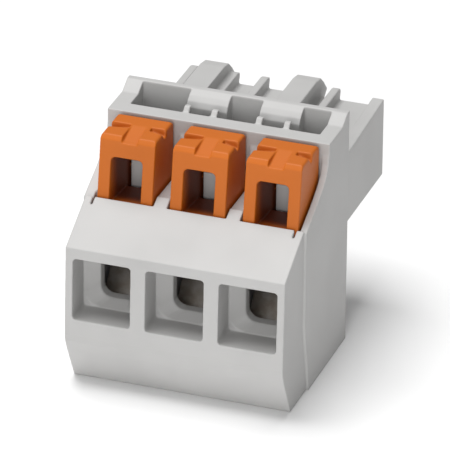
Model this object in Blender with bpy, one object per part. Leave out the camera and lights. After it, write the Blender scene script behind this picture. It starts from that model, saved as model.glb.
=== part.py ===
"""Three-pole pluggable wire connector with press-down release levers.

A front housing takes three conductors, each under its own orange release lever.
A plug housing closes the back of the front housing and carries three socket contacts.
Inside each pole: a current bar above the conductor, a clamp spring below it, a socket
contact and the steel spring around its tines.

Axes: +X along the poles, -Y the wire side, +Y the plug side, +Z up.
Positions are first worked out from the front foot edge of the front housing (Y = 0
there), and FRAME_Y then moves everything so that the origin is under the middle.
"""
import math

import bmesh
import bpy
from mathutils import Matrix, Vector

MM = 0.001
GAP = 0.3 * MM

# Poles
POLE_COUNT = 3
PITCH = 7.62 * MM
INNER_SHIFT = 0.2 * MM          # levers and metal parts sit this far to +X of the wire ports

# Front housing, seen from the side: Y from the foot edge, Z from the underside
BODY_WIDTH = 23.3 * MM
SIDE_STEP = 0.22 * MM           # the front part of each side is this much further in
CHIN_Y = -2.6 * MM
CHIN_Z = 5.4 * MM
BROW_Y = -2.2 * MM
BROW_Z = 15.3 * MM
PANEL_BACK_Y = 3.45 * MM
PANEL_BACK_Z = 18.4 * MM
RIB_TOP_Z = 18.85 * MM
RIDGE_Y = 10.3 * MM
RIDGE_Z = 24.75 * MM
RIDGE_SLOPE_Y = 14.4 * MM       # the ridge's top rises from here to its back edge
RIDGE_BACK_Y = 15.9 * MM
BACK_Y = 16.6 * MM
BACK_Z = 25.6 * MM
FLOOR = 1.5 * MM
CHAMBER_FRONT_Y = 3.05 * MM
CHAMBER_HALF = 3.1 * MM
CHAMBER_TOP_Z = 19.45 * MM

# Wire ports
PORT_WIDTH = 6.05 * MM
PORT_HEIGHT = 6.6 * MM
PORT_Z = 10.85 * MM             # middle of the port
PORT_CORNER = 0.35 * MM
PORT_BACK_Y = 0.8 * MM
HOLE_WIDTH = 4.0 * MM
HOLE_HEIGHT = 5.1 * MM
HOLE_CORNER = 1.1 * MM
HOLE_SHIFT = 0.4 * MM
FUNNEL_SIZE = (1.48, 1.27)      # mouth of the funnel, in hole widths and heights
FUNNEL_DEPTH = 1.2 * MM

# Pockets in the ridge
POCKET_FRONT_Y = 12.15 * MM
POCKET_BACK_Y = 15.85 * MM
POCKET_FLOOR_Z = 20.2 * MM
POCKET_LEFT_X = -9.9 * MM
POCKET_RIGHT_X = 10.0 * MM
PARTITION_TOP_Z = 22.8 * MM
PARTITION_PAIR_X = (-2.62 * MM, 5.0 * MM)
PARTITION_OFFSET = 1.45 * MM
PARTITION_WIDTH = 0.65 * MM
BLOCK_FRONT_Y = 14.3 * MM
BLOCK_WIDTH = 4.3 * MM

# Front of the ridge: a raised web in each gap between two levers, and a wall behind each window
WEB_X = ((-3.9 * MM, -2.95 * MM), (3.45 * MM, 4.7 * MM))
WEB_DEPTH = 0.45 * MM
TONGUE_HALF = 1.43 * MM
TONGUE_FRONT_Y = 9.5 * MM
TONGUE_BOTTOM_Z = 16.9 * MM
SLIT_X = 10.55 * MM             # a fine slit at each end of the panel's back edge
SLIT_WIDTH = 0.2 * MM
SLIT_LENGTH = 0.8 * MM

# Release lever: a head over two cheeks, joined by a web, on arms that reach back to the pivot
LEVER_HALF = 2.9 * MM
CHEEK_INNER = 1.65 * MM
LEVER_FACE_Y = 3.74 * MM        # front face where it meets the panel, at the next height
LEVER_FACE_Z = 18.4 * MM
LEVER_LEAN = 0.146              # the face leans back this much for each unit of height
LEVER_FOOT_Z = 13.3 * MM
LEVER_ARM_Z = 16.9 * MM
LEVER_ARM_TOP_Z = 19.0 * MM
LEVER_BACK_Y = 9.9 * MM
LEVER_TOP_Z = 24.75 * MM
HEAD_CORNER = 0.3 * MM
HEAD_UNDERSIDE_Z = 22.6 * MM
WINDOW_CORNER = 0.5 * MM
GROOVE_FLOOR_Z = 23.95 * MM
GROOVE_RISE = 0.45 * MM          # the groove gets this much shallower towards the ramp
RAMP_LEFT = 0.75 * MM           # the ramp in the middle of the head, from the lever's middle
RAMP_RIGHT = 1.4 * MM
WEB_BACK_Y = 8.9 * MM
PIVOT_Y = 13.5 * MM
PIVOT_Z = 17.9 * MM
JOURNAL_RADIUS = 0.85 * MM
JOURNAL_REACH = 3.35 * MM

# Clamp spring: a strip with a flat foot, a bend and a clamping leg
SPRING_HALF = 2.5 * MM
STRIP = 0.45 * MM
BEND_Y = 4.9 * MM
BEND_Z = 4.6 * MM
BEND_RADIUS = 1.6 * MM
LEG_ANGLE = math.radians(50.0)
LEG_LENGTH = 9.45 * MM
SPRING_FOOT_Y = 13.6 * MM

# Current bar and socket contact
BAR_HALF = 1.2 * MM
BAR_THICK = 0.8 * MM
BAR_Z = 13.75 * MM
CONTACT_Z = 16.7 * MM
BAR_END_Y = 18.5 * MM
CONTACT_HALF = 0.9 * MM
CONTACT_START_Y = 18.9 * MM
CONTACT_END_Y = 27.4 * MM
TINE_THICK = 0.8 * MM
TINE_SPACE = 0.9 * MM
CLIP_HALF = 1.4 * MM
CLIP_SHEET = 0.28 * MM
CLIP_HEIGHT = 3.6 * MM

# Plug housing
PLUG_LEFT_X = -9.7 * MM
PLUG_RIGHT_X = 11.5 * MM
PLUG_START_Y = BACK_Y + GAP
PLUG_END_Y = 28.3 * MM
PLUG_BOTTOM_Z = 13.0 * MM
PLUG_TOP_Z = 20.65 * MM
END_WALL_LOW_Z = 20.8 * MM      # the end wall's top rises from here, beside the front housing
END_WALL_Z = 21.5 * MM
END_WALL_THICK = 1.25 * MM
COVER_Y = 15.5 * MM
COVER_EDGE = 0.3 * MM
CELL_HALF = 1.6 * MM
CELL_BOTTOM_Z = 14.2 * MM
CELL_TOP_Z = 19.2 * MM
CELL_START_Y = 17.8 * MM
BAR_SLOT_HALF = 1.5 * MM
BAR_SLOT_HEIGHT = 1.5 * MM
GUIDE_TOP_Z = 23.3 * MM
GUIDE_WIDTH = 2.6 * MM
GUIDE_X = (-6.2 * MM, 3.7 * MM)
NOSE_Y = 29.7 * MM
RIB_WIDTH = 0.85 * MM
RIB_Z = 21.9 * MM
RIB_SHIFT = -1.25 * MM          # one rib for each pole, this far from its middle

FRAME_Y = -(CHIN_Y + NOSE_Y) / 2


def clear_scene():
    for thing in list(bpy.data.objects):
        bpy.data.objects.remove(thing, do_unlink=True)


def make_collection(name):
    collection = bpy.data.collections.new(name)
    bpy.context.scene.collection.children.link(collection)
    return collection


def make_material(name, colour, roughness, metallic):
    material = bpy.data.materials.new(name)
    material.use_nodes = True
    shader = material.node_tree.nodes["Principled BSDF"]
    shader.inputs["Base Color"].default_value = (*colour, 1.0)
    shader.inputs["Roughness"].default_value = roughness
    shader.inputs["Metallic"].default_value = metallic
    return material


def make_object(name, mesh, collection):
    thing = bpy.data.objects.new(name, mesh)
    collection.objects.link(thing)
    return thing


def side_solid(name, outline, x_low, x_high, collection):
    """A closed outline of (Y, Z) points, extruded from x_low to x_high."""
    curve = bpy.data.curves.new(name + "_outline", "CURVE")
    curve.dimensions = "2D"
    curve.fill_mode = "BOTH"
    curve.extrude = (x_high - x_low) / 2
    spline = curve.splines.new("POLY")
    spline.points.add(len(outline) - 1)
    for point, (y, z) in zip(spline.points, outline):
        point.co = (y, z, 0.0, 1.0)
    spline.use_cyclic_u = True
    flat = bpy.data.objects.new(name + "_flat", curve)
    collection.objects.link(flat)
    stand_up = Matrix(((0, 0, 1, (x_low + x_high) / 2), (1, 0, 0, FRAME_Y), (0, 1, 0, 0), (0, 0, 0, 1)))
    flat.matrix_world = stand_up
    bpy.context.view_layer.update()
    mesh = bpy.data.meshes.new_from_object(flat.evaluated_get(bpy.context.evaluated_depsgraph_get()))
    bpy.data.objects.remove(flat, do_unlink=True)
    mesh.transform(stand_up)
    mesh.name = name
    close_mesh(mesh)
    return make_object(name, mesh, collection)


def close_mesh(mesh):
    cage = bmesh.new()
    cage.from_mesh(mesh)
    bmesh.ops.remove_doubles(cage, verts=cage.verts, dist=1e-7)
    bmesh.ops.recalc_face_normals(cage, faces=cage.faces)
    cage.to_mesh(mesh)
    cage.free()


def box(name, low, high, collection):
    """A box between two corners, given from the foot edge."""
    size = Vector(high) - Vector(low)
    middle = (Vector(high) + Vector(low)) / 2 + Vector((0, FRAME_Y, 0))
    mesh = bpy.data.meshes.new(name)
    cage = bmesh.new()
    bmesh.ops.create_cube(cage, size=1.0, matrix=Matrix.Translation(middle) @ Matrix.Diagonal((*size, 1.0)))
    cage.to_mesh(mesh)
    cage.free()
    return make_object(name, mesh, collection)


def round_bar(name, start, length, radius, collection, sides=24):
    """A cylinder from start along +X."""
    place = Matrix.Translation(Vector(start) + Vector((0, FRAME_Y, 0)))
    turn = Matrix.Rotation(math.radians(90), 4, "Y")
    mesh = bpy.data.meshes.new(name)
    cage = bmesh.new()
    bmesh.ops.create_cone(
        cage,
        cap_ends=True,
        segments=sides,
        radius1=radius,
        radius2=radius,
        depth=length,
        matrix=place @ turn @ Matrix.Translation((0, 0, length / 2)),
    )
    cage.to_mesh(mesh)
    cage.free()
    return make_object(name, mesh, collection)


def combine(target, tool, operation):
    modifier = target.modifiers.new(tool.name, "BOOLEAN")
    modifier.operation = operation
    modifier.solver = "EXACT"
    modifier.object = tool
    tool.hide_render = True
    tool.display_type = "WIRE"


def cut(target, tool):
    combine(target, tool, "DIFFERENCE")


def join(target, tool):
    combine(target, tool, "UNION")


def put_origin(thing, y, z):
    """Moves an object's origin to the joint's axis, leaving its shape where it is."""
    origin = Vector((0, y + FRAME_Y, z))
    thing.data.transform(Matrix.Translation(-origin))
    thing.location = origin


def arc(centre, radius, start_deg, end_deg, steps):
    """Points (Y, Z) on an arc, from start_deg to end_deg."""
    points = []
    for step in range(steps + 1):
        angle = math.radians(start_deg + (end_deg - start_deg) * step / steps)
        points.append((centre[0] + radius * math.cos(angle), centre[1] + radius * math.sin(angle)))
    return points


def face_y(z):
    """Y of the lever's leaning front face at height z."""
    return LEVER_FACE_Y + LEVER_LEAN * (z - LEVER_FACE_Z)


def pole_x(pole):
    return (pole - (POLE_COUNT - 1) / 2) * PITCH


def inner_x(pole):
    return pole_x(pole) + INNER_SHIFT


def front_housing_outline():
    """Side view, with the low side walls beside the levers swept up to the ridge."""
    return [
        (0, 0),
        (CHIN_Y + 0.55 * MM, CHIN_Z - 1.4 * MM),
        (CHIN_Y + 0.1 * MM, CHIN_Z - 0.3 * MM),
        (CHIN_Y, CHIN_Z + 0.4 * MM),
        (BROW_Y, BROW_Z),
        (PANEL_BACK_Y, PANEL_BACK_Z),
        (PANEL_BACK_Y, PANEL_BACK_Z - 0.3 * MM),
        (5.3 * MM, 19.0 * MM),
        (7.1 * MM, 19.85 * MM),
        (8.6 * MM, 20.75 * MM),
        (9.6 * MM, 21.6 * MM),
        (10.1 * MM, 22.6 * MM),
        (RIDGE_Y, 23.6 * MM),
        (RIDGE_Y, RIDGE_Z),
        (RIDGE_SLOPE_Y, RIDGE_Z),
        (RIDGE_BACK_Y, BACK_Z),
        (BACK_Y, BACK_Z),
        (BACK_Y, 0),
    ]


def cut_sides(housing, tools):
    """The front part of each side lies in by SIDE_STEP, up to a line that sweeps back at the foot."""
    outline = [
        (3.5 * MM, 30 * MM),
        (3.45 * MM, 7.9 * MM),
        (3.9 * MM, 5.4 * MM),
        (4.5 * MM, 2.9 * MM),
        (5.1 * MM, -1 * MM),
        (-5 * MM, -1 * MM),
        (-5 * MM, 30 * MM),
    ]
    outer = BODY_WIDTH / 2 + 1 * MM
    inner = BODY_WIDTH / 2 - SIDE_STEP
    cut(housing, side_solid("side_step_left", outline, -outer, -inner, tools))
    cut(housing, side_solid("side_step_right", outline, inner, outer, tools))


def cut_lever_bay(housing, tools):
    """Opens the space between the side walls, then puts back the ribs between the levers."""
    left = inner_x(0) - CHAMBER_HALF
    right = inner_x(POLE_COUNT - 1) + CHAMBER_HALF
    bay = [
        (PANEL_BACK_Y, 17.0 * MM),
        (RIDGE_Y, 17.0 * MM),
        (RIDGE_Y, 30 * MM),
        (PANEL_BACK_Y, 30 * MM),
    ]
    cut(housing, side_solid("lever_bay", bay, left, right, tools))
    rib = [
        (PANEL_BACK_Y - 0.5 * MM, 16.5 * MM),
        (PANEL_BACK_Y - 0.5 * MM, 17.8 * MM),
        (PANEL_BACK_Y, PANEL_BACK_Z - 0.01 * MM),
        (4.6 * MM, 18.95 * MM),
        (4.9 * MM, RIB_TOP_Z),
        (RIDGE_Y + 0.5 * MM, RIB_TOP_Z),
        (RIDGE_Y + 0.5 * MM, 16.5 * MM),
    ]
    for gap in range(POLE_COUNT - 1):
        low = inner_x(gap) + CHAMBER_HALF
        high = inner_x(gap + 1) - CHAMBER_HALF
        join(housing, side_solid(f"lever_rib_{gap + 1}", rib, low, high, tools))
        web_low, web_high = WEB_X[gap]
        web = [
            (RIDGE_Y - WEB_DEPTH, RIB_TOP_Z - 0.3 * MM),
            (RIDGE_Y - WEB_DEPTH, RIDGE_Z - 2.6 * MM),
            (RIDGE_Y + 0.3 * MM, RIDGE_Z - 0.6 * MM),
            (RIDGE_Y + 0.3 * MM, RIB_TOP_Z - 0.3 * MM),
        ]
        join(housing, side_solid(f"ridge_web_{gap + 1}", web, web_low, web_high, tools))


def cut_chamber(housing, pole, tools):
    """One pole's chamber, open to the back, with the tongue that hangs behind the lever window."""
    x = inner_x(pole)
    chamber = [
        (CHAMBER_FRONT_Y, FLOOR),
        (BACK_Y + 1 * MM, FLOOR),
        (BACK_Y + 1 * MM, CHAMBER_TOP_Z),
        (PANEL_BACK_Y + 0.02 * MM, CHAMBER_TOP_Z),
        (PANEL_BACK_Y + 0.02 * MM, 17.8 * MM),
        (CHAMBER_FRONT_Y, 17.0 * MM),
    ]
    half = CHAMBER_HALF - 0.01 * MM
    cut(housing, side_solid(f"chamber_{pole + 1}", chamber, x - half, x + half, tools))
    tongue = box(
        f"tongue_{pole + 1}",
        (x - TONGUE_HALF, TONGUE_FRONT_Y, TONGUE_BOTTOM_Z),
        (x + TONGUE_HALF, RIDGE_Y + 1.1 * MM, CHAMBER_TOP_Z + 0.4 * MM),
        tools,
    )
    join(housing, tongue)
    reach = JOURNAL_REACH + 0.2 * MM
    bearing = round_bar(
        f"bearing_{pole + 1}", (x - reach, PIVOT_Y, PIVOT_Z), 2 * reach, JOURNAL_RADIUS + 0.25 * MM, tools
    )
    cut(housing, bearing)


def rounded_block(name, middle, size, corner, y_low, y_high, collection):
    """A block along Y with rounded corners, around a middle given as (X, Z)."""
    block = box(
        name,
        (middle[0] - size[0] / 2, y_low, middle[1] - size[1] / 2),
        (middle[0] + size[0] / 2, y_high, middle[1] + size[1] / 2),
        collection,
    )
    cage = bmesh.new()
    cage.from_mesh(block.data)
    long_edges = [e for e in cage.edges if abs(e.verts[0].co.y - e.verts[1].co.y) > (y_high - y_low) / 2]
    bmesh.ops.bevel(cage, geom=long_edges, offset=corner, segments=4, profile=0.5, affect="EDGES")
    cage.to_mesh(block.data)
    cage.free()
    return block


def widen_front(block, middle, front_middle, scale):
    """Turns a rounded block into a funnel by moving and widening its front end."""
    corners = [vert.co for vert in block.data.vertices]
    half_way = sum(corner.y for corner in corners) / len(corners)
    for corner in corners:
        if corner.y < half_way:
            corner.x = front_middle[0] + (corner.x - middle[0]) * scale[0]
            corner.z = front_middle[1] + (corner.z - middle[1]) * scale[1]


def cut_wire_port(housing, pole, tools):
    """A square recess, a funnel and the hole that leads to the clamp."""
    port_middle = (pole_x(pole), PORT_Z)
    hole_middle = (pole_x(pole) + HOLE_SHIFT, PORT_Z)
    hole_size = (HOLE_WIDTH, HOLE_HEIGHT)
    port_size = (PORT_WIDTH, PORT_HEIGHT)
    mouth_y = PORT_BACK_Y - 0.05 * MM
    throat_y = mouth_y + FUNNEL_DEPTH
    number = pole + 1
    cut(housing, rounded_block(f"port_{number}", port_middle, port_size, PORT_CORNER, -5 * MM, PORT_BACK_Y, tools))
    funnel = rounded_block(f"funnel_{number}", hole_middle, hole_size, HOLE_CORNER, mouth_y, throat_y, tools)
    widen_front(funnel, hole_middle, port_middle, FUNNEL_SIZE)
    cut(housing, funnel)
    hole_start = throat_y - 0.1 * MM
    hole_end = CHAMBER_FRONT_Y + 0.3 * MM
    hole = rounded_block(f"wire_hole_{number}", hole_middle, hole_size, HOLE_CORNER, hole_start, hole_end, tools)
    cut(housing, hole)


def cut_pockets(housing, tools):
    """The row of pockets in the ridge: one trough, with two pairs of partitions and two blocks put back."""
    trough = box(
        "trough",
        (POCKET_LEFT_X, POCKET_FRONT_Y, POCKET_FLOOR_Z),
        (POCKET_RIGHT_X, POCKET_BACK_Y, 30 * MM),
        tools,
    )
    cut(housing, trough)
    inside = 0.3 * MM
    for pair, middle in enumerate(PARTITION_PAIR_X):
        for side in (-1, 1):
            x = middle + side * PARTITION_OFFSET
            post = [
                (POCKET_FRONT_Y - inside, POCKET_FLOOR_Z - inside),
                (POCKET_FRONT_Y - inside, RIDGE_Z - 0.1 * MM),
                (POCKET_FRONT_Y, RIDGE_Z - 0.01 * MM),
                (POCKET_FRONT_Y + 0.45 * MM, RIDGE_Z + 0.45 * MM),
                (POCKET_FRONT_Y + 0.95 * MM, RIDGE_Z + 0.45 * MM),
                (POCKET_FRONT_Y + 0.95 * MM, PARTITION_TOP_Z),
                (POCKET_BACK_Y + inside, PARTITION_TOP_Z),
                (POCKET_BACK_Y + inside, POCKET_FLOOR_Z - inside),
            ]
            name = f"partition_{2 * pair + (side + 3) // 2}"
            half = PARTITION_WIDTH / 2
            join(housing, side_solid(name, post, x - half, x + half, tools))
        block = [
            (BLOCK_FRONT_Y, POCKET_FLOOR_Z - inside),
            (BLOCK_FRONT_Y, RIDGE_Z - 0.5 * MM),
            (BLOCK_FRONT_Y + 0.3 * MM, RIDGE_Z + 0.05 * MM),
            (BLOCK_FRONT_Y + 0.85 * MM, RIDGE_Z + 0.5 * MM),
            (RIDGE_BACK_Y, BACK_Z - 0.01 * MM),
            (POCKET_BACK_Y + inside, BACK_Z - 0.01 * MM),
            (POCKET_BACK_Y + inside, POCKET_FLOOR_Z - inside),
        ]
        low = middle - BLOCK_WIDTH / 2
        join(housing, side_solid(f"block_{pair + 1}", block, low, low + BLOCK_WIDTH, tools))


def cut_slits(housing, tools):
    """A fine slit at each end of the panel, open to the lever bay."""
    for side in (-1, 1):
        middle = side * SLIT_X
        slit = box(
            "slit_left" if side < 0 else "slit_right",
            (middle - SLIT_WIDTH / 2, PANEL_BACK_Y - SLIT_LENGTH, PANEL_BACK_Z - 0.9 * MM),
            (middle + SLIT_WIDTH / 2, PANEL_BACK_Y + 1 * MM, PANEL_BACK_Z + 1 * MM),
            tools,
        )
        cut(housing, slit)


def make_front_housing(parts, tools):
    half = BODY_WIDTH / 2
    housing = side_solid("front_housing", front_housing_outline(), -half, half, parts)
    cut_lever_bay(housing, tools)
    for pole in range(POLE_COUNT):
        cut_chamber(housing, pole, tools)
        cut_wire_port(housing, pole, tools)
    cut_pockets(housing, tools)
    cut_sides(housing, tools)
    cut_slits(housing, tools)
    return housing


def guide_outline():
    """Side view of a guide bar with its bullet nose."""
    root = PLUG_TOP_Z - 0.6 * MM
    return [
        (PLUG_START_Y, root),
        (PLUG_START_Y, GUIDE_TOP_Z),
        (26.2 * MM, GUIDE_TOP_Z),
        (27.6 * MM, GUIDE_TOP_Z - 0.25 * MM),
        (28.6 * MM, GUIDE_TOP_Z - 1.1 * MM),
        (NOSE_Y, GUIDE_TOP_Z - 2.3 * MM),
        (28.8 * MM, GUIDE_TOP_Z - 3.0 * MM),
        (PLUG_END_Y - 0.2 * MM, root),
    ]


def rib_outline():
    """Side view of a small rib on the plug, rounded over at its end."""
    root = PLUG_TOP_Z - 0.5 * MM
    return [
        (PLUG_START_Y, root),
        (PLUG_START_Y, RIB_Z),
        (28.0 * MM, RIB_Z),
        (28.55 * MM, RIB_Z - 0.15 * MM),
        (28.65 * MM, RIB_Z - 0.4 * MM),
        (PLUG_END_Y - 0.1 * MM, root),
    ]


def make_plug_housing(parts, tools):
    """The back part: a cover in the front housing's back opening, the plug and its guides."""
    plug = side_solid(
        "plug_housing",
        [
            (PLUG_START_Y, PLUG_BOTTOM_Z),
            (PLUG_START_Y, PLUG_TOP_Z),
            (PLUG_END_Y, PLUG_TOP_Z),
            (PLUG_END_Y, PLUG_BOTTOM_Z),
        ],
        PLUG_LEFT_X,
        PLUG_RIGHT_X,
        parts,
    )
    cover_top = CHAMBER_TOP_Z - COVER_EDGE
    cover_half = CHAMBER_HALF - COVER_EDGE
    for pole in range(POLE_COUNT):
        low = inner_x(pole) - cover_half
        high = inner_x(pole) + cover_half
        cover = box(f"cover_{pole + 1}", (low, COVER_Y, FLOOR + COVER_EDGE), (high, BACK_Y, cover_top), tools)
        neck = box(
            f"neck_{pole + 1}",
            (max(low, PLUG_LEFT_X + 0.01 * MM), BACK_Y - 0.5 * MM, PLUG_BOTTOM_Z + 0.5 * MM),
            (high - 0.01 * MM, PLUG_START_Y + 0.6 * MM, cover_top - 0.01 * MM),
            tools,
        )
        join(neck, cover)
        join(plug, neck)
    end_wall = [
        (PLUG_START_Y + 0.01 * MM, PLUG_TOP_Z - 0.5 * MM),
        (PLUG_START_Y + 0.01 * MM, END_WALL_LOW_Z),
        (PLUG_END_Y - 0.01 * MM, END_WALL_Z),
        (PLUG_END_Y - 0.01 * MM, PLUG_TOP_Z - 0.5 * MM),
    ]
    wall_right = PLUG_RIGHT_X - 0.01 * MM
    join(plug, side_solid("end_wall", end_wall, PLUG_RIGHT_X - END_WALL_THICK, wall_right, tools))
    for number, x in enumerate(GUIDE_X):
        low = x - GUIDE_WIDTH / 2
        join(plug, side_solid(f"guide_{number + 1}", guide_outline(), low, low + GUIDE_WIDTH, tools))
    rib_places = [pole_x(pole) + RIB_SHIFT for pole in range(POLE_COUNT)]
    rib_places.append(GUIDE_X[0] + GUIDE_WIDTH / 2 + RIB_WIDTH / 2)
    for number, x in enumerate(rib_places):
        low = x - RIB_WIDTH / 2
        join(plug, side_solid(f"plug_rib_{number + 1}", rib_outline(), low, low + RIB_WIDTH, tools))
    for pole in range(POLE_COUNT):
        x = inner_x(pole)
        cell = box(
            f"cell_{pole + 1}",
            (x - CELL_HALF, CELL_START_Y, CELL_BOTTOM_Z),
            (x + CELL_HALF, PLUG_END_Y + 3 * MM, CELL_TOP_Z),
            tools,
        )
        cut(plug, cell)
        bar_slot = box(
            f"bar_slot_{pole + 1}",
            (x - BAR_SLOT_HALF, COVER_Y - 1 * MM, CONTACT_Z - BAR_SLOT_HEIGHT / 2),
            (x + BAR_SLOT_HALF, CELL_START_Y + 0.5 * MM, CONTACT_Z + BAR_SLOT_HEIGHT / 2),
            tools,
        )
        cut(plug, bar_slot)
    return plug


def lever_outline():
    """Side view of a cheek: leaning face, head, arm to the pivot, and the foot on the spring."""
    return [
        (face_y(16.5 * MM), 16.5 * MM),
        (face_y(24.3 * MM), 24.3 * MM),
        (5.0 * MM, LEVER_TOP_Z),
        (9.55 * MM, LEVER_TOP_Z),
        (LEVER_BACK_Y, LEVER_TOP_Z - 0.35 * MM),
        (LEVER_BACK_Y, LEVER_ARM_TOP_Z),
        (14.4 * MM, LEVER_ARM_TOP_Z),
        (14.6 * MM, 18.8 * MM),
        (14.6 * MM, LEVER_ARM_Z),
        (10.7 * MM, LEVER_ARM_Z),
        (10.4 * MM, LEVER_FOOT_Z),
        (8.8 * MM, LEVER_FOOT_Z),
        (7.6 * MM, 16.0 * MM),
        (3.7 * MM, 16.0 * MM),
    ]


def raise_end(thing, x_end, rise):
    """Lifts one end of a solid that runs along X, so that it slopes."""
    for vert in thing.data.vertices:
        if abs(vert.co.x - x_end) < 0.01 * MM:
            vert.co.z += rise


def cut_window(lever, x, number, tools):
    """The window between the cheeks, with its sloping floor, and the space under that floor."""
    floor_front_z = 18.0 * MM
    floor_back_z = 17.3 * MM
    top_middle = (x, (floor_front_z + HEAD_UNDERSIDE_Z) / 2)
    top_size = (2 * CHEEK_INNER, HEAD_UNDERSIDE_Z - floor_front_z)
    top = rounded_block(f"window_top_{number}", top_middle, top_size, WINDOW_CORNER, 2 * MM, 20 * MM, tools)
    below = [
        (2 * MM, HEAD_UNDERSIDE_Z - WINDOW_CORNER),
        (20 * MM, HEAD_UNDERSIDE_Z - WINDOW_CORNER),
        (20 * MM, 10 * MM),
        (WEB_BACK_Y, 10 * MM),
        (WEB_BACK_Y, floor_back_z),
        (2 * MM, floor_front_z),
    ]
    window = side_solid(f"lever_window_{number}", below, x - CHEEK_INNER, x + CHEEK_INNER, tools)
    join(window, top)
    cut(lever, window)
    below_web = WEB_BACK_Y + 1 * MM
    under_web = [(2 * MM, 17.0 * MM), (below_web, 15.6 * MM), (below_web, 5 * MM), (2 * MM, 5 * MM)]
    cut(lever, side_solid(f"under_web_{number}", under_web, x - CHEEK_INNER, x + CHEEK_INNER, tools))


def cut_head_top(lever, x, number, tools):
    """The head's top: a driver notch that ramps up in the middle, and a groove on both sides of the ramp."""
    notch = [
        (3 * MM, 24.1 * MM),
        (4.8 * MM, 24.15 * MM),
        (7.8 * MM, LEVER_TOP_Z + 0.02 * MM),
        (7.8 * MM, 26 * MM),
        (3 * MM, 26 * MM),
    ]
    cut(lever, side_solid(f"driver_notch_{number}", notch, x - 0.65 * MM, x + 1.0 * MM, tools))
    groove = [
        (6.3 * MM, LEVER_TOP_Z + 0.3 * MM),
        (7.3 * MM, GROOVE_FLOOR_Z),
        (7.7 * MM, GROOVE_FLOOR_Z),
        (7.9 * MM, LEVER_TOP_Z + 0.3 * MM),
    ]
    outside = LEVER_HALF + 0.1 * MM
    for side, outer, inner in (("left", x - outside, x - RAMP_LEFT), ("right", x + outside, x + RAMP_RIGHT)):
        cutter = side_solid(f"groove_{side}_{number}", groove, min(outer, inner), max(outer, inner), tools)
        raise_end(cutter, inner, GROOVE_RISE)
        cut(lever, cutter)


def make_release_lever(pole, parts, tools):
    x = inner_x(pole)
    number = pole + 1
    lever = side_solid(f"release_lever_{number}", lever_outline(), x - LEVER_HALF, x + LEVER_HALF, parts)
    height = LEVER_TOP_Z + 5 * MM
    head_middle = (x, LEVER_TOP_Z - height / 2)
    head_size = (2 * LEVER_HALF, height)
    rounded = rounded_block(f"head_corners_{number}", head_middle, head_size, HEAD_CORNER, 0, 20 * MM, tools)
    combine(lever, rounded, "INTERSECT")
    cut_window(lever, x, number, tools)
    cut_head_top(lever, x, number, tools)
    stub = JOURNAL_REACH - LEVER_HALF + 0.3 * MM
    for side, start in (("left", x - JOURNAL_REACH), ("right", x + JOURNAL_REACH - stub)):
        name = f"journal_{side}_{number}"
        join(lever, round_bar(name, (start, PIVOT_Y, PIVOT_Z), stub, JOURNAL_RADIUS, tools))
    put_origin(lever, PIVOT_Y, PIVOT_Z)
    return lever


def leg_start():
    """Where the clamping leg leaves the bend, on the strip's middle line."""
    angle = LEG_ANGLE + math.pi / 2
    return (BEND_Y + BEND_RADIUS * math.cos(angle), BEND_Z + BEND_RADIUS * math.sin(angle))


def make_clamp_spring(pole, parts):
    """The flat foot and the bend of the clamp spring."""
    leave = 90 + math.degrees(LEG_ANGLE)
    outer = arc((BEND_Y, BEND_Z), BEND_RADIUS + STRIP / 2, 270, leave, 10)
    inner = arc((BEND_Y, BEND_Z), BEND_RADIUS - STRIP / 2, leave, 270, 10)
    low = BEND_Z - BEND_RADIUS - STRIP / 2
    outline = [(SPRING_FOOT_Y, low), *outer, *inner, (SPRING_FOOT_Y, low + STRIP)]
    x = inner_x(pole)
    return side_solid(f"clamp_spring_{pole + 1}", outline, x - SPRING_HALF, x + SPRING_HALF, parts)


def make_clamp_leg(pole, parts):
    """The clamping leg of the same spring: the part of the strip that moves."""
    start = leg_start()
    along = (math.cos(LEG_ANGLE), math.sin(LEG_ANGLE))
    across = (-along[1], along[0])

    def point(distance, offset):
        return (start[0] + along[0] * distance + across[0] * offset, start[1] + along[1] * distance + across[1] * offset)

    half = STRIP / 2
    outline = [
        point(GAP, -half),
        point(LEG_LENGTH, -half),
        point(LEG_LENGTH - 0.3 * MM, half),
        point(GAP, half),
    ]
    x = inner_x(pole)
    leg = side_solid(f"clamp_leg_{pole + 1}", outline, x - SPRING_HALF, x + SPRING_HALF, parts)
    put_origin(leg, BEND_Y, BEND_Z)
    return leg


def strip_outline(middle_line, thickness):
    """Outline of a strip of even thickness along a line of (Y, Z) points, mitred at its bends."""
    upper = []
    lower = []
    last = len(middle_line) - 1
    for index, (y, z) in enumerate(middle_line):
        before = Vector(middle_line[max(index - 1, 0)])
        after = Vector(middle_line[min(index + 1, last)])
        here = Vector((y, z))
        directions = [d.normalized() for d in (here - before, after - here) if d.length > 0]
        normals = [Vector((-d.y, d.x)) for d in directions]
        mitre = sum(normals, Vector((0, 0))).normalized()
        reach = thickness / 2 / mitre.dot(normals[0])
        upper.append(tuple(here + mitre * reach))
        lower.append(tuple(here - mitre * reach))
    return upper + lower[::-1]


def make_current_bar(pole, parts):
    """The bar runs above the conductor, steps up between the lever's arms and enters the plug."""
    line = [
        (CHAMBER_FRONT_Y + 0.6 * MM, BAR_Z),
        (11.6 * MM, BAR_Z),
        (14.0 * MM, CONTACT_Z),
        (BAR_END_Y, CONTACT_Z),
    ]
    x = inner_x(pole)
    outline = strip_outline(line, BAR_THICK)
    return side_solid(f"current_bar_{pole + 1}", outline, x - BAR_HALF, x + BAR_HALF, parts)


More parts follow.
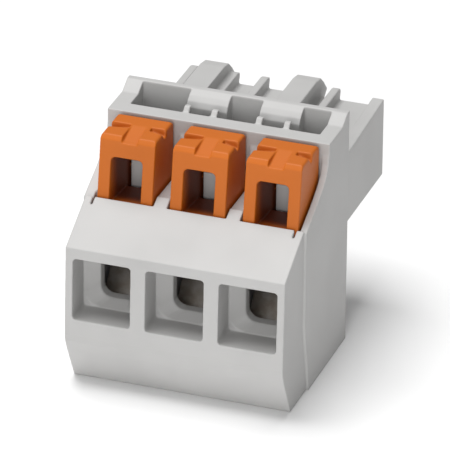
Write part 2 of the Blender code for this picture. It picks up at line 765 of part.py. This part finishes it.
def make_socket_contact(pole, parts):
    """A fork whose two tines take the header's pin between them."""
    mouth = CONTACT_END_Y - 1.2 * MM
    throat = CONTACT_START_Y + 2.0 * MM
    space = TINE_SPACE / 2
    outer = space + TINE_THICK
    upper = [
        (throat, space),
        (mouth, space - 0.1 * MM),
        (CONTACT_END_Y, space + 0.5 * MM),
        (CONTACT_END_Y, outer + 0.35 * MM),
        (mouth, outer - 0.1 * MM),
        (throat, outer),
        (CONTACT_START_Y, outer),
    ]
    outline = [(y, CONTACT_Z + z) for y, z in upper]
    outline += [(y, CONTACT_Z - z) for y, z in reversed(upper)]
    x = inner_x(pole)
    return side_solid(f"socket_contact_{pole + 1}", outline, x - CONTACT_HALF, x + CONTACT_HALF, parts)


def make_contact_spring(pole, parts, tools):
    """A steel sleeve around the tines that presses them together."""
    x = inner_x(pole)
    start = CONTACT_START_Y + 2.4 * MM
    end = CONTACT_END_Y - 1.6 * MM
    half_height = CLIP_HEIGHT / 2
    sleeve = box(
        f"contact_spring_{pole + 1}",
        (x - CLIP_HALF, start, CONTACT_Z - half_height),
        (x + CLIP_HALF, end, CONTACT_Z + half_height),
        parts,
    )
    inside = box(
        f"contact_spring_space_{pole + 1}",
        (x - CLIP_HALF + CLIP_SHEET, start - 1 * MM, CONTACT_Z - half_height + CLIP_SHEET),
        (x + CLIP_HALF - CLIP_SHEET, end + 1 * MM, CONTACT_Z + half_height - CLIP_SHEET),
        tools,
    )
    cut(sleeve, inside)
    return sleeve


def paint(thing, material):
    thing.data.materials.clear()
    thing.data.materials.append(material)


def main():
    clear_scene()
    parts = make_collection("lever_wire_connector")
    tools = make_collection("cutters")
    housing_grey = make_material("housing_grey", (0.72, 0.72, 0.71), 0.45, 0.0)
    lever_orange = make_material("lever_orange", (0.80, 0.20, 0.02), 0.45, 0.0)
    tinned_copper = make_material("tinned_copper", (0.70, 0.66, 0.60), 0.35, 1.0)
    spring_steel = make_material("spring_steel", (0.55, 0.55, 0.56), 0.30, 1.0)

    paint(make_front_housing(parts, tools), housing_grey)
    paint(make_plug_housing(parts, tools), housing_grey)
    for pole in range(POLE_COUNT):
        paint(make_release_lever(pole, parts, tools), lever_orange)
        paint(make_clamp_spring(pole, parts), spring_steel)
        paint(make_clamp_leg(pole, parts), spring_steel)
        paint(make_current_bar(pole, parts), tinned_copper)
        paint(make_socket_contact(pole, parts), tinned_copper)
        paint(make_contact_spring(pole, parts, tools), spring_steel)
    bpy.context.view_layer.update()


main()
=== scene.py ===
"""Looks of the three-pole wire connector: moulded grey housings, orange levers, metal inside.

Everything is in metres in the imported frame: +X along the poles, -Y the wire side, +Z up.
Each plastic piece starts from its CAD solid and is remeshed finely and smoothed, so that
every edge has the soft rounding of an injection moulding. The metal pieces keep their CAD
shape and get broken edges.
"""
import math

import bmesh
import bpy
from mathutils import Matrix, Vector


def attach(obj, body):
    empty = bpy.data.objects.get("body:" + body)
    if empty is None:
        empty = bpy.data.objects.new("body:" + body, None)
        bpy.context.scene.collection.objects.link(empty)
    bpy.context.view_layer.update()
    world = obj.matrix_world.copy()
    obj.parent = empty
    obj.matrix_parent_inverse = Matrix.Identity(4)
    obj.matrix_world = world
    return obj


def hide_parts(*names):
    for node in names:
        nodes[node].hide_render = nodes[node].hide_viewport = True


MM = 0.001
POLES = (1, 2, 3)

# Camera, fitted to the viewing angle of the picture
CAMERA_AZIMUTH = math.radians(19.19)
CAMERA_ELEVATION = math.radians(27.21)
CAMERA_ROLL = math.radians(0.54)
CAMERA_DISTANCE = 578.5 * MM
CAMERA_AIM = Vector((-0.19, -0.32, 12.33)) * MM
CAMERA_LENS = 461.5             # millimetres, as is the sensor
SENSOR_WIDTH = 36
CLIP_NEAR = 0.05
CLIP_FAR = 20

# Levers, from the CAD: spacing, offset of the row, and the window between the cheeks
PITCH = 7.62 * MM
LEVER_SHIFT = 0.2 * MM
WINDOW_HALF = 1.65 * MM
WINDOW_TOP_Z = 22.6 * MM
WINDOW_FRONT_Y = -9.6 * MM

# How far the painted shade in a window takes to fade in, around those edges
CHEEK_FADE_OUT = 0.12 * MM
CHEEK_FADE_IN = 0.02 * MM
TOP_FADE = 0.1 * MM
DEPTH_FADE = 2.5 * MM

# Rounding of the moulded pieces
HOUSING_VOXEL = 0.085 * MM
HOUSING_KEEP = 0.2              # share of the triangles that stays
FRONT_SMOOTHING = 5             # rounds of smoothing
PLUG_SMOOTHING = 6
LEVER_VOXEL = 0.06 * MM
LEVER_KEEP = 0.25
LEVER_SMOOTHING = 20
SPRING_EDGE = 0.05 * MM
SLEEVE_EDGE = 0.04 * MM
COPPER_EDGE = 0.08 * MM
SAME_POINT = 0.001 * MM         # points closer than this are one
FLAT_ANGLE = math.radians(2)    # faces that meet flatter than this are one
EDGE_ANGLE = math.radians(35)   # edges sharper than this are broken

# Colours, linear
HOUSING_GREY = (0.477, 0.473, 0.466)
LEVER_ORANGE = (0.53, 0.126, 0.006)
# painted shade for the inside of the lever windows, not a colour of the plastic
PAINTED_WINDOW_SHADE = (0.17, 0.034, 0.011)
TIN = (0.66, 0.60, 0.53)
TIN_STAIN = (0.50, 0.40, 0.31)
STEEL = (0.52, 0.49, 0.46)
STEEL_STAIN = (0.38, 0.33, 0.28)
FLOOR_WHITE = (0.94, 0.94, 0.94)

# Surfaces: roughness, and how fine the noise is, in cycles per metre
PLASTIC_ROUGHNESS = 0.5
PLASTIC_SPECULAR = 0.35
TIN_ROUGHNESS = 0.38
STEEL_ROUGHNESS = 0.30
FLOOR_ROUGHNESS = 0.9
FLOW_NOISE = 140.0
GRAIN_NOISE = 9000.0
GRAIN_HEIGHT = 0.012 * MM
ROLLING_NOISE = 14000.0
ROLLING_STRETCH = (1.0, 0.04, 1.0)      # rolling lines run along Y
ROLLING_HEIGHT = 0.01 * MM
PATCH_NOISE = 900.0

# Lights: azimuth and elevation in degrees, distance and size in metres, power in watts
KEY = (-92, 79, 0.5, 0.32, 2.45)
FRONT_FILL = (6, 14, 0.5, 0.3, 1.15)
LIGHT_AIM = Vector((0, 0, 12)) * MM
SKY_STRENGTH = 0.26
FLOOR_DROP = 0.02 * MM          # the floor lies this far under the object
FLOOR_SIZE = 3.0

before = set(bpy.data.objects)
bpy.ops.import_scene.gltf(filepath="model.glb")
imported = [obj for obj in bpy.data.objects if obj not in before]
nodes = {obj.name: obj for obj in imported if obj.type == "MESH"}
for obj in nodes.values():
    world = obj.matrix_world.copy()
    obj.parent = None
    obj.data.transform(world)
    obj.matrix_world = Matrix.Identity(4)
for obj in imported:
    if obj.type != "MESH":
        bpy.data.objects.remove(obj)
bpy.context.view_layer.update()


# ---------------------------------------------------------------- meshes

def link(thing):
    bpy.context.scene.collection.objects.link(thing)
    return thing


def copy_of(node, name):
    """A free object with a copy of a CAD node's mesh."""
    mesh = nodes[node].data.copy()
    mesh.name = name
    mesh.materials.clear()
    cage = bmesh.new()
    cage.from_mesh(mesh)
    bmesh.ops.remove_doubles(cage, verts=cage.verts, dist=SAME_POINT)
    cage.to_mesh(mesh)
    cage.free()
    return link(bpy.data.objects.new(name, mesh))


def apply_modifiers(thing):
    graph = bpy.context.evaluated_depsgraph_get()
    mesh = bpy.data.meshes.new_from_object(thing.evaluated_get(graph))
    old = thing.data
    thing.modifiers.clear()
    thing.data = mesh
    mesh.name = thing.name
    bpy.data.meshes.remove(old)


def mould(thing, voxel, rounds, keep):
    """Remeshes a solid finely and smooths it, which rounds all its edges a little."""
    remesh = thing.modifiers.new("remesh", "REMESH")
    remesh.mode = "VOXEL"
    remesh.voxel_size = voxel
    smooth = thing.modifiers.new("smooth", "SMOOTH")
    smooth.factor = 0.5
    smooth.iterations = rounds
    thin = thing.modifiers.new("thin", "DECIMATE")
    thin.ratio = keep
    apply_modifiers(thing)
    thing.data.shade_smooth()


# ---------------------------------------------------------------- materials

def new_material(name):
    material = bpy.data.materials.new(name)
    material.use_nodes = True
    tree = material.node_tree
    return material, tree, tree.nodes["Principled BSDF"]


def noise(tree, vector, scale, detail):
    node = tree.nodes.new("ShaderNodeTexNoise")
    node.inputs["Scale"].default_value = scale
    node.inputs["Detail"].default_value = detail
    tree.links.new(vector, node.inputs["Vector"])
    return node.outputs["Fac"]


def ramp(tree, factor, stops):
    """A colour ramp with (position, colour) stops."""
    node = tree.nodes.new("ShaderNodeValToRGB")
    elements = node.color_ramp.elements
    elements[0].position, elements[1].position = stops[0][0], stops[-1][0]
    elements[0].color, elements[1].color = (*stops[0][1], 1), (*stops[-1][1], 1)
    for position, colour in stops[1:-1]:
        elements.new(position).color = (*colour, 1)
    tree.links.new(factor, node.inputs["Fac"])
    return node.outputs["Color"]


def spread(tree, factor, low, high):
    node = tree.nodes.new("ShaderNodeMapRange")
    node.inputs["To Min"].default_value = low
    node.inputs["To Max"].default_value = high
    tree.links.new(factor, node.inputs["Value"])
    return node.outputs["Result"]


def mix_colour(tree, factor, first, second):
    node = tree.nodes.new("ShaderNodeMix")
    node.data_type = "RGBA"
    tree.links.new(factor, node.inputs["Factor"])
    for socket, value in ((node.inputs["A"], first), (node.inputs["B"], second)):
        if isinstance(value, tuple):
            socket.default_value = (*value, 1)
        else:
            tree.links.new(value, socket)
    return node.outputs["Result"]


def bump(tree, height, strength, distance):
    node = tree.nodes.new("ShaderNodeBump")
    node.inputs["Strength"].default_value = strength
    node.inputs["Distance"].default_value = distance
    tree.links.new(height, node.inputs["Height"])
    return node.outputs["Normal"]


def moulded_plastic(name, colour):
    """Plastic with a fine eroded texture and faint flow marks."""
    material, tree, shader = new_material(name)
    place = tree.nodes.new("ShaderNodeTexCoord").outputs["Object"]
    flow = noise(tree, place, FLOW_NOISE, 2.0)
    grain = noise(tree, place, GRAIN_NOISE, 3.0)
    darker = tuple(0.955 * c for c in colour)
    lighter = tuple(min(1.0, 1.03 * c) for c in colour)
    base = ramp(tree, flow, [(0.3, darker), (0.5, colour), (0.7, lighter)])
    speckle = spread(tree, grain, 0.0, 0.08)
    base = mix_colour(tree, speckle, base, darker)
    tree.links.new(base, shader.inputs["Base Color"])
    uneven = spread(tree, grain, PLASTIC_ROUGHNESS - 0.05, PLASTIC_ROUGHNESS + 0.08)
    tree.links.new(uneven, shader.inputs["Roughness"])
    tree.links.new(bump(tree, grain, 0.25, GRAIN_HEIGHT), shader.inputs["Normal"])
    shader.inputs["Specular IOR Level"].default_value = PLASTIC_SPECULAR
    return material


def fade(tree, value, start, end):
    """0 at start, 1 at end, smoothly between them."""
    node = tree.nodes.new("ShaderNodeMapRange")
    node.interpolation_type = "SMOOTHSTEP"
    node.inputs["From Min"].default_value = start
    node.inputs["From Max"].default_value = end
    tree.links.new(value, node.inputs["Value"])
    return node.outputs["Result"]


def calculate(tree, operation, *values):
    node = tree.nodes.new("ShaderNodeMath")
    node.operation = operation
    for socket, value in zip(node.inputs, values):
        if isinstance(value, float):
            socket.default_value = value
        else:
            tree.links.new(value, socket)
    return node.outputs["Value"]


def paint_window_shade(material, shade):
    """Paints shade into the inside of the lever windows, which lie in deep shade on the real object.
    """
    tree = material.node_tree
    shader = tree.nodes["Principled BSDF"]
    unshaded_colour = shader.inputs["Base Color"].links[0].from_socket
    place = tree.nodes.new("ShaderNodeTexCoord").outputs["Object"]
    split = tree.nodes.new("ShaderNodeSeparateXYZ")
    tree.links.new(place, split.inputs["Vector"])
    from_row = calculate(tree, "SUBTRACT", split.outputs["X"], LEVER_SHIFT)
    from_lever = calculate(tree, "WRAP", from_row, PITCH / 2, -PITCH / 2)
    sideways = calculate(tree, "ABSOLUTE", from_lever)
    between_cheeks = fade(tree, sideways, WINDOW_HALF + CHEEK_FADE_OUT, WINDOW_HALF - CHEEK_FADE_IN)
    under_head = fade(tree, split.outputs["Z"], WINDOW_TOP_Z + TOP_FADE, WINDOW_TOP_Z - TOP_FADE)
    inward = fade(tree, split.outputs["Y"], WINDOW_FRONT_Y, WINDOW_FRONT_Y + DEPTH_FADE)
    framed = calculate(tree, "MULTIPLY", between_cheeks, under_head)
    inside = calculate(tree, "MULTIPLY", framed, inward)
    # painted shade: the orange darkens towards the shade colour between the cheeks, under the head
    # and deeper into each window
    tree.links.new(mix_colour(tree, inside, unshaded_colour, shade), shader.inputs["Base Color"])


def rolled_metal(name, colour, stain, roughness):
    """Metal strip with rolling lines and a slightly uneven surface."""
    material, tree, shader = new_material(name)
    place = tree.nodes.new("ShaderNodeTexCoord").outputs["Object"]
    stretch = tree.nodes.new("ShaderNodeMapping")
    stretch.inputs["Scale"].default_value = ROLLING_STRETCH
    tree.links.new(place, stretch.inputs["Vector"])
    lines = noise(tree, stretch.outputs["Vector"], ROLLING_NOISE, 4.0)
    patches = noise(tree, place, PATCH_NOISE, 3.0)
    base = ramp(tree, patches, [(0.35, stain), (0.65, colour)])
    tree.links.new(base, shader.inputs["Base Color"])
    uneven = spread(tree, lines, roughness - 0.08, roughness + 0.12)
    tree.links.new(uneven, shader.inputs["Roughness"])
    tree.links.new(bump(tree, lines, 0.3, ROLLING_HEIGHT), shader.inputs["Normal"])
    shader.inputs["Metallic"].default_value = 1.0
    return material


housing_plastic = moulded_plastic("moulded_grey", HOUSING_GREY)
lever_plastic = moulded_plastic("moulded_orange", LEVER_ORANGE)
# the lever orange gets painted shade inside its windows
paint_window_shade(lever_plastic, PAINTED_WINDOW_SHADE)
tinned_copper = rolled_metal("dull_tin", TIN, TIN_STAIN, TIN_ROUGHNESS)
spring_steel = rolled_metal("spring_strip", STEEL, STEEL_STAIN, STEEL_ROUGHNESS)


# ---------------------------------------------------------------- pieces

def make_front_shell():
    shell = copy_of("front_housing", "front_shell")
    mould(shell, HOUSING_VOXEL, FRONT_SMOOTHING, HOUSING_KEEP)
    shell.data.materials.append(housing_plastic)
    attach(shell, "housing")
    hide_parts("front_housing")


def make_plug_shell():
    shell = copy_of("plug_housing", "plug_shell")
    mould(shell, HOUSING_VOXEL, PLUG_SMOOTHING, HOUSING_KEEP)
    shell.data.materials.append(housing_plastic)
    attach(shell, "housing")
    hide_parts("plug_housing")


def make_lever(pole):
    lever = copy_of(f"release_lever_{pole}", f"lever_shell_{pole}")
    mould(lever, LEVER_VOXEL, LEVER_SMOOTHING, LEVER_KEEP)
    lever.data.materials.append(lever_plastic)
    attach(lever, f"lever_{pole}")
    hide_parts(f"release_lever_{pole}")


def finish_metal(node, material, width):
    """A metal CAD node keeps its shape and gets broken edges and its own surface."""
    thing = nodes[node]
    merge = thing.modifiers.new("merge", "WELD")
    merge.merge_threshold = SAME_POINT
    flat = thing.modifiers.new("flat", "DECIMATE")
    flat.decimate_type = "DISSOLVE"
    flat.angle_limit = FLAT_ANGLE
    bevel = thing.modifiers.new("edges", "BEVEL")
    bevel.width = width
    bevel.segments = 2
    bevel.limit_method = "ANGLE"
    bevel.angle_limit = EDGE_ANGLE
    thing.data.materials.clear()
    thing.data.materials.append(material)


make_front_shell()
make_plug_shell()
for pole in POLES:
    make_lever(pole)
    finish_metal(f"clamp_spring_{pole}", spring_steel, SPRING_EDGE)
    finish_metal(f"clamp_leg_{pole}", spring_steel, SPRING_EDGE)
    finish_metal(f"contact_spring_{pole}", spring_steel, SLEEVE_EDGE)
    finish_metal(f"current_bar_{pole}", tinned_copper, COPPER_EDGE)
    finish_metal(f"socket_contact_{pole}", tinned_copper, COPPER_EDGE)


# ---------------------------------------------------------------- stage

def make_floor():
    mesh = bpy.data.meshes.new("floor")
    cage = bmesh.new()
    bmesh.ops.create_grid(cage, x_segments=1, y_segments=1, size=FLOOR_SIZE)
    cage.to_mesh(mesh)
    cage.free()
    floor = link(bpy.data.objects.new("floor", mesh))
    floor.location.z = -FLOOR_DROP
    material, _, shader = new_material("studio_floor")
    shader.inputs["Base Color"].default_value = (*FLOOR_WHITE, 1)
    shader.inputs["Roughness"].default_value = FLOOR_ROUGHNESS
    floor.data.materials.append(material)


def make_area_light(name, azimuth, elevation, distance, size, power):
    a, e = math.radians(azimuth), math.radians(elevation)
    back = Vector((math.sin(a) * math.cos(e), -math.cos(a) * math.cos(e), math.sin(e)))
    data = bpy.data.lights.new(name, "AREA")
    data.size = size
    data.energy = power
    light = link(bpy.data.objects.new(name, data))
    light.location = LIGHT_AIM + back * distance
    light.rotation_euler = (-back).to_track_quat("-Z", "Y").to_euler()


def make_lights():
    world = bpy.data.worlds.new("studio")
    bpy.context.scene.world = world
    world.use_nodes = True
    world.node_tree.nodes["Background"].inputs["Color"].default_value = (1, 1, 1, 1)
    world.node_tree.nodes["Background"].inputs["Strength"].default_value = SKY_STRENGTH
    make_area_light("key", *KEY)
    make_area_light("front_fill", *FRONT_FILL)


def make_camera():
    a, e = CAMERA_AZIMUTH, CAMERA_ELEVATION
    back = Vector((math.sin(a) * math.cos(e), -math.cos(a) * math.cos(e), math.sin(e)))
    data = bpy.data.cameras.new("camera")
    data.sensor_width = SENSOR_WIDTH
    data.lens = CAMERA_LENS
    data.clip_start = CLIP_NEAR
    data.clip_end = CLIP_FAR
    camera = link(bpy.data.objects.new("camera", data))
    camera.location = CAMERA_AIM + back * CAMERA_DISTANCE
    camera.rotation_mode = "QUATERNION"
    turn = Matrix.Rotation(CAMERA_ROLL, 3, back)
    camera.rotation_quaternion = (turn @ (-back).to_track_quat("-Z", "Y").to_matrix()).to_quaternion()
    bpy.context.scene.camera = camera


make_floor()
make_lights()
make_camera()
bpy.context.scene.view_settings.view_transform = "Standard"
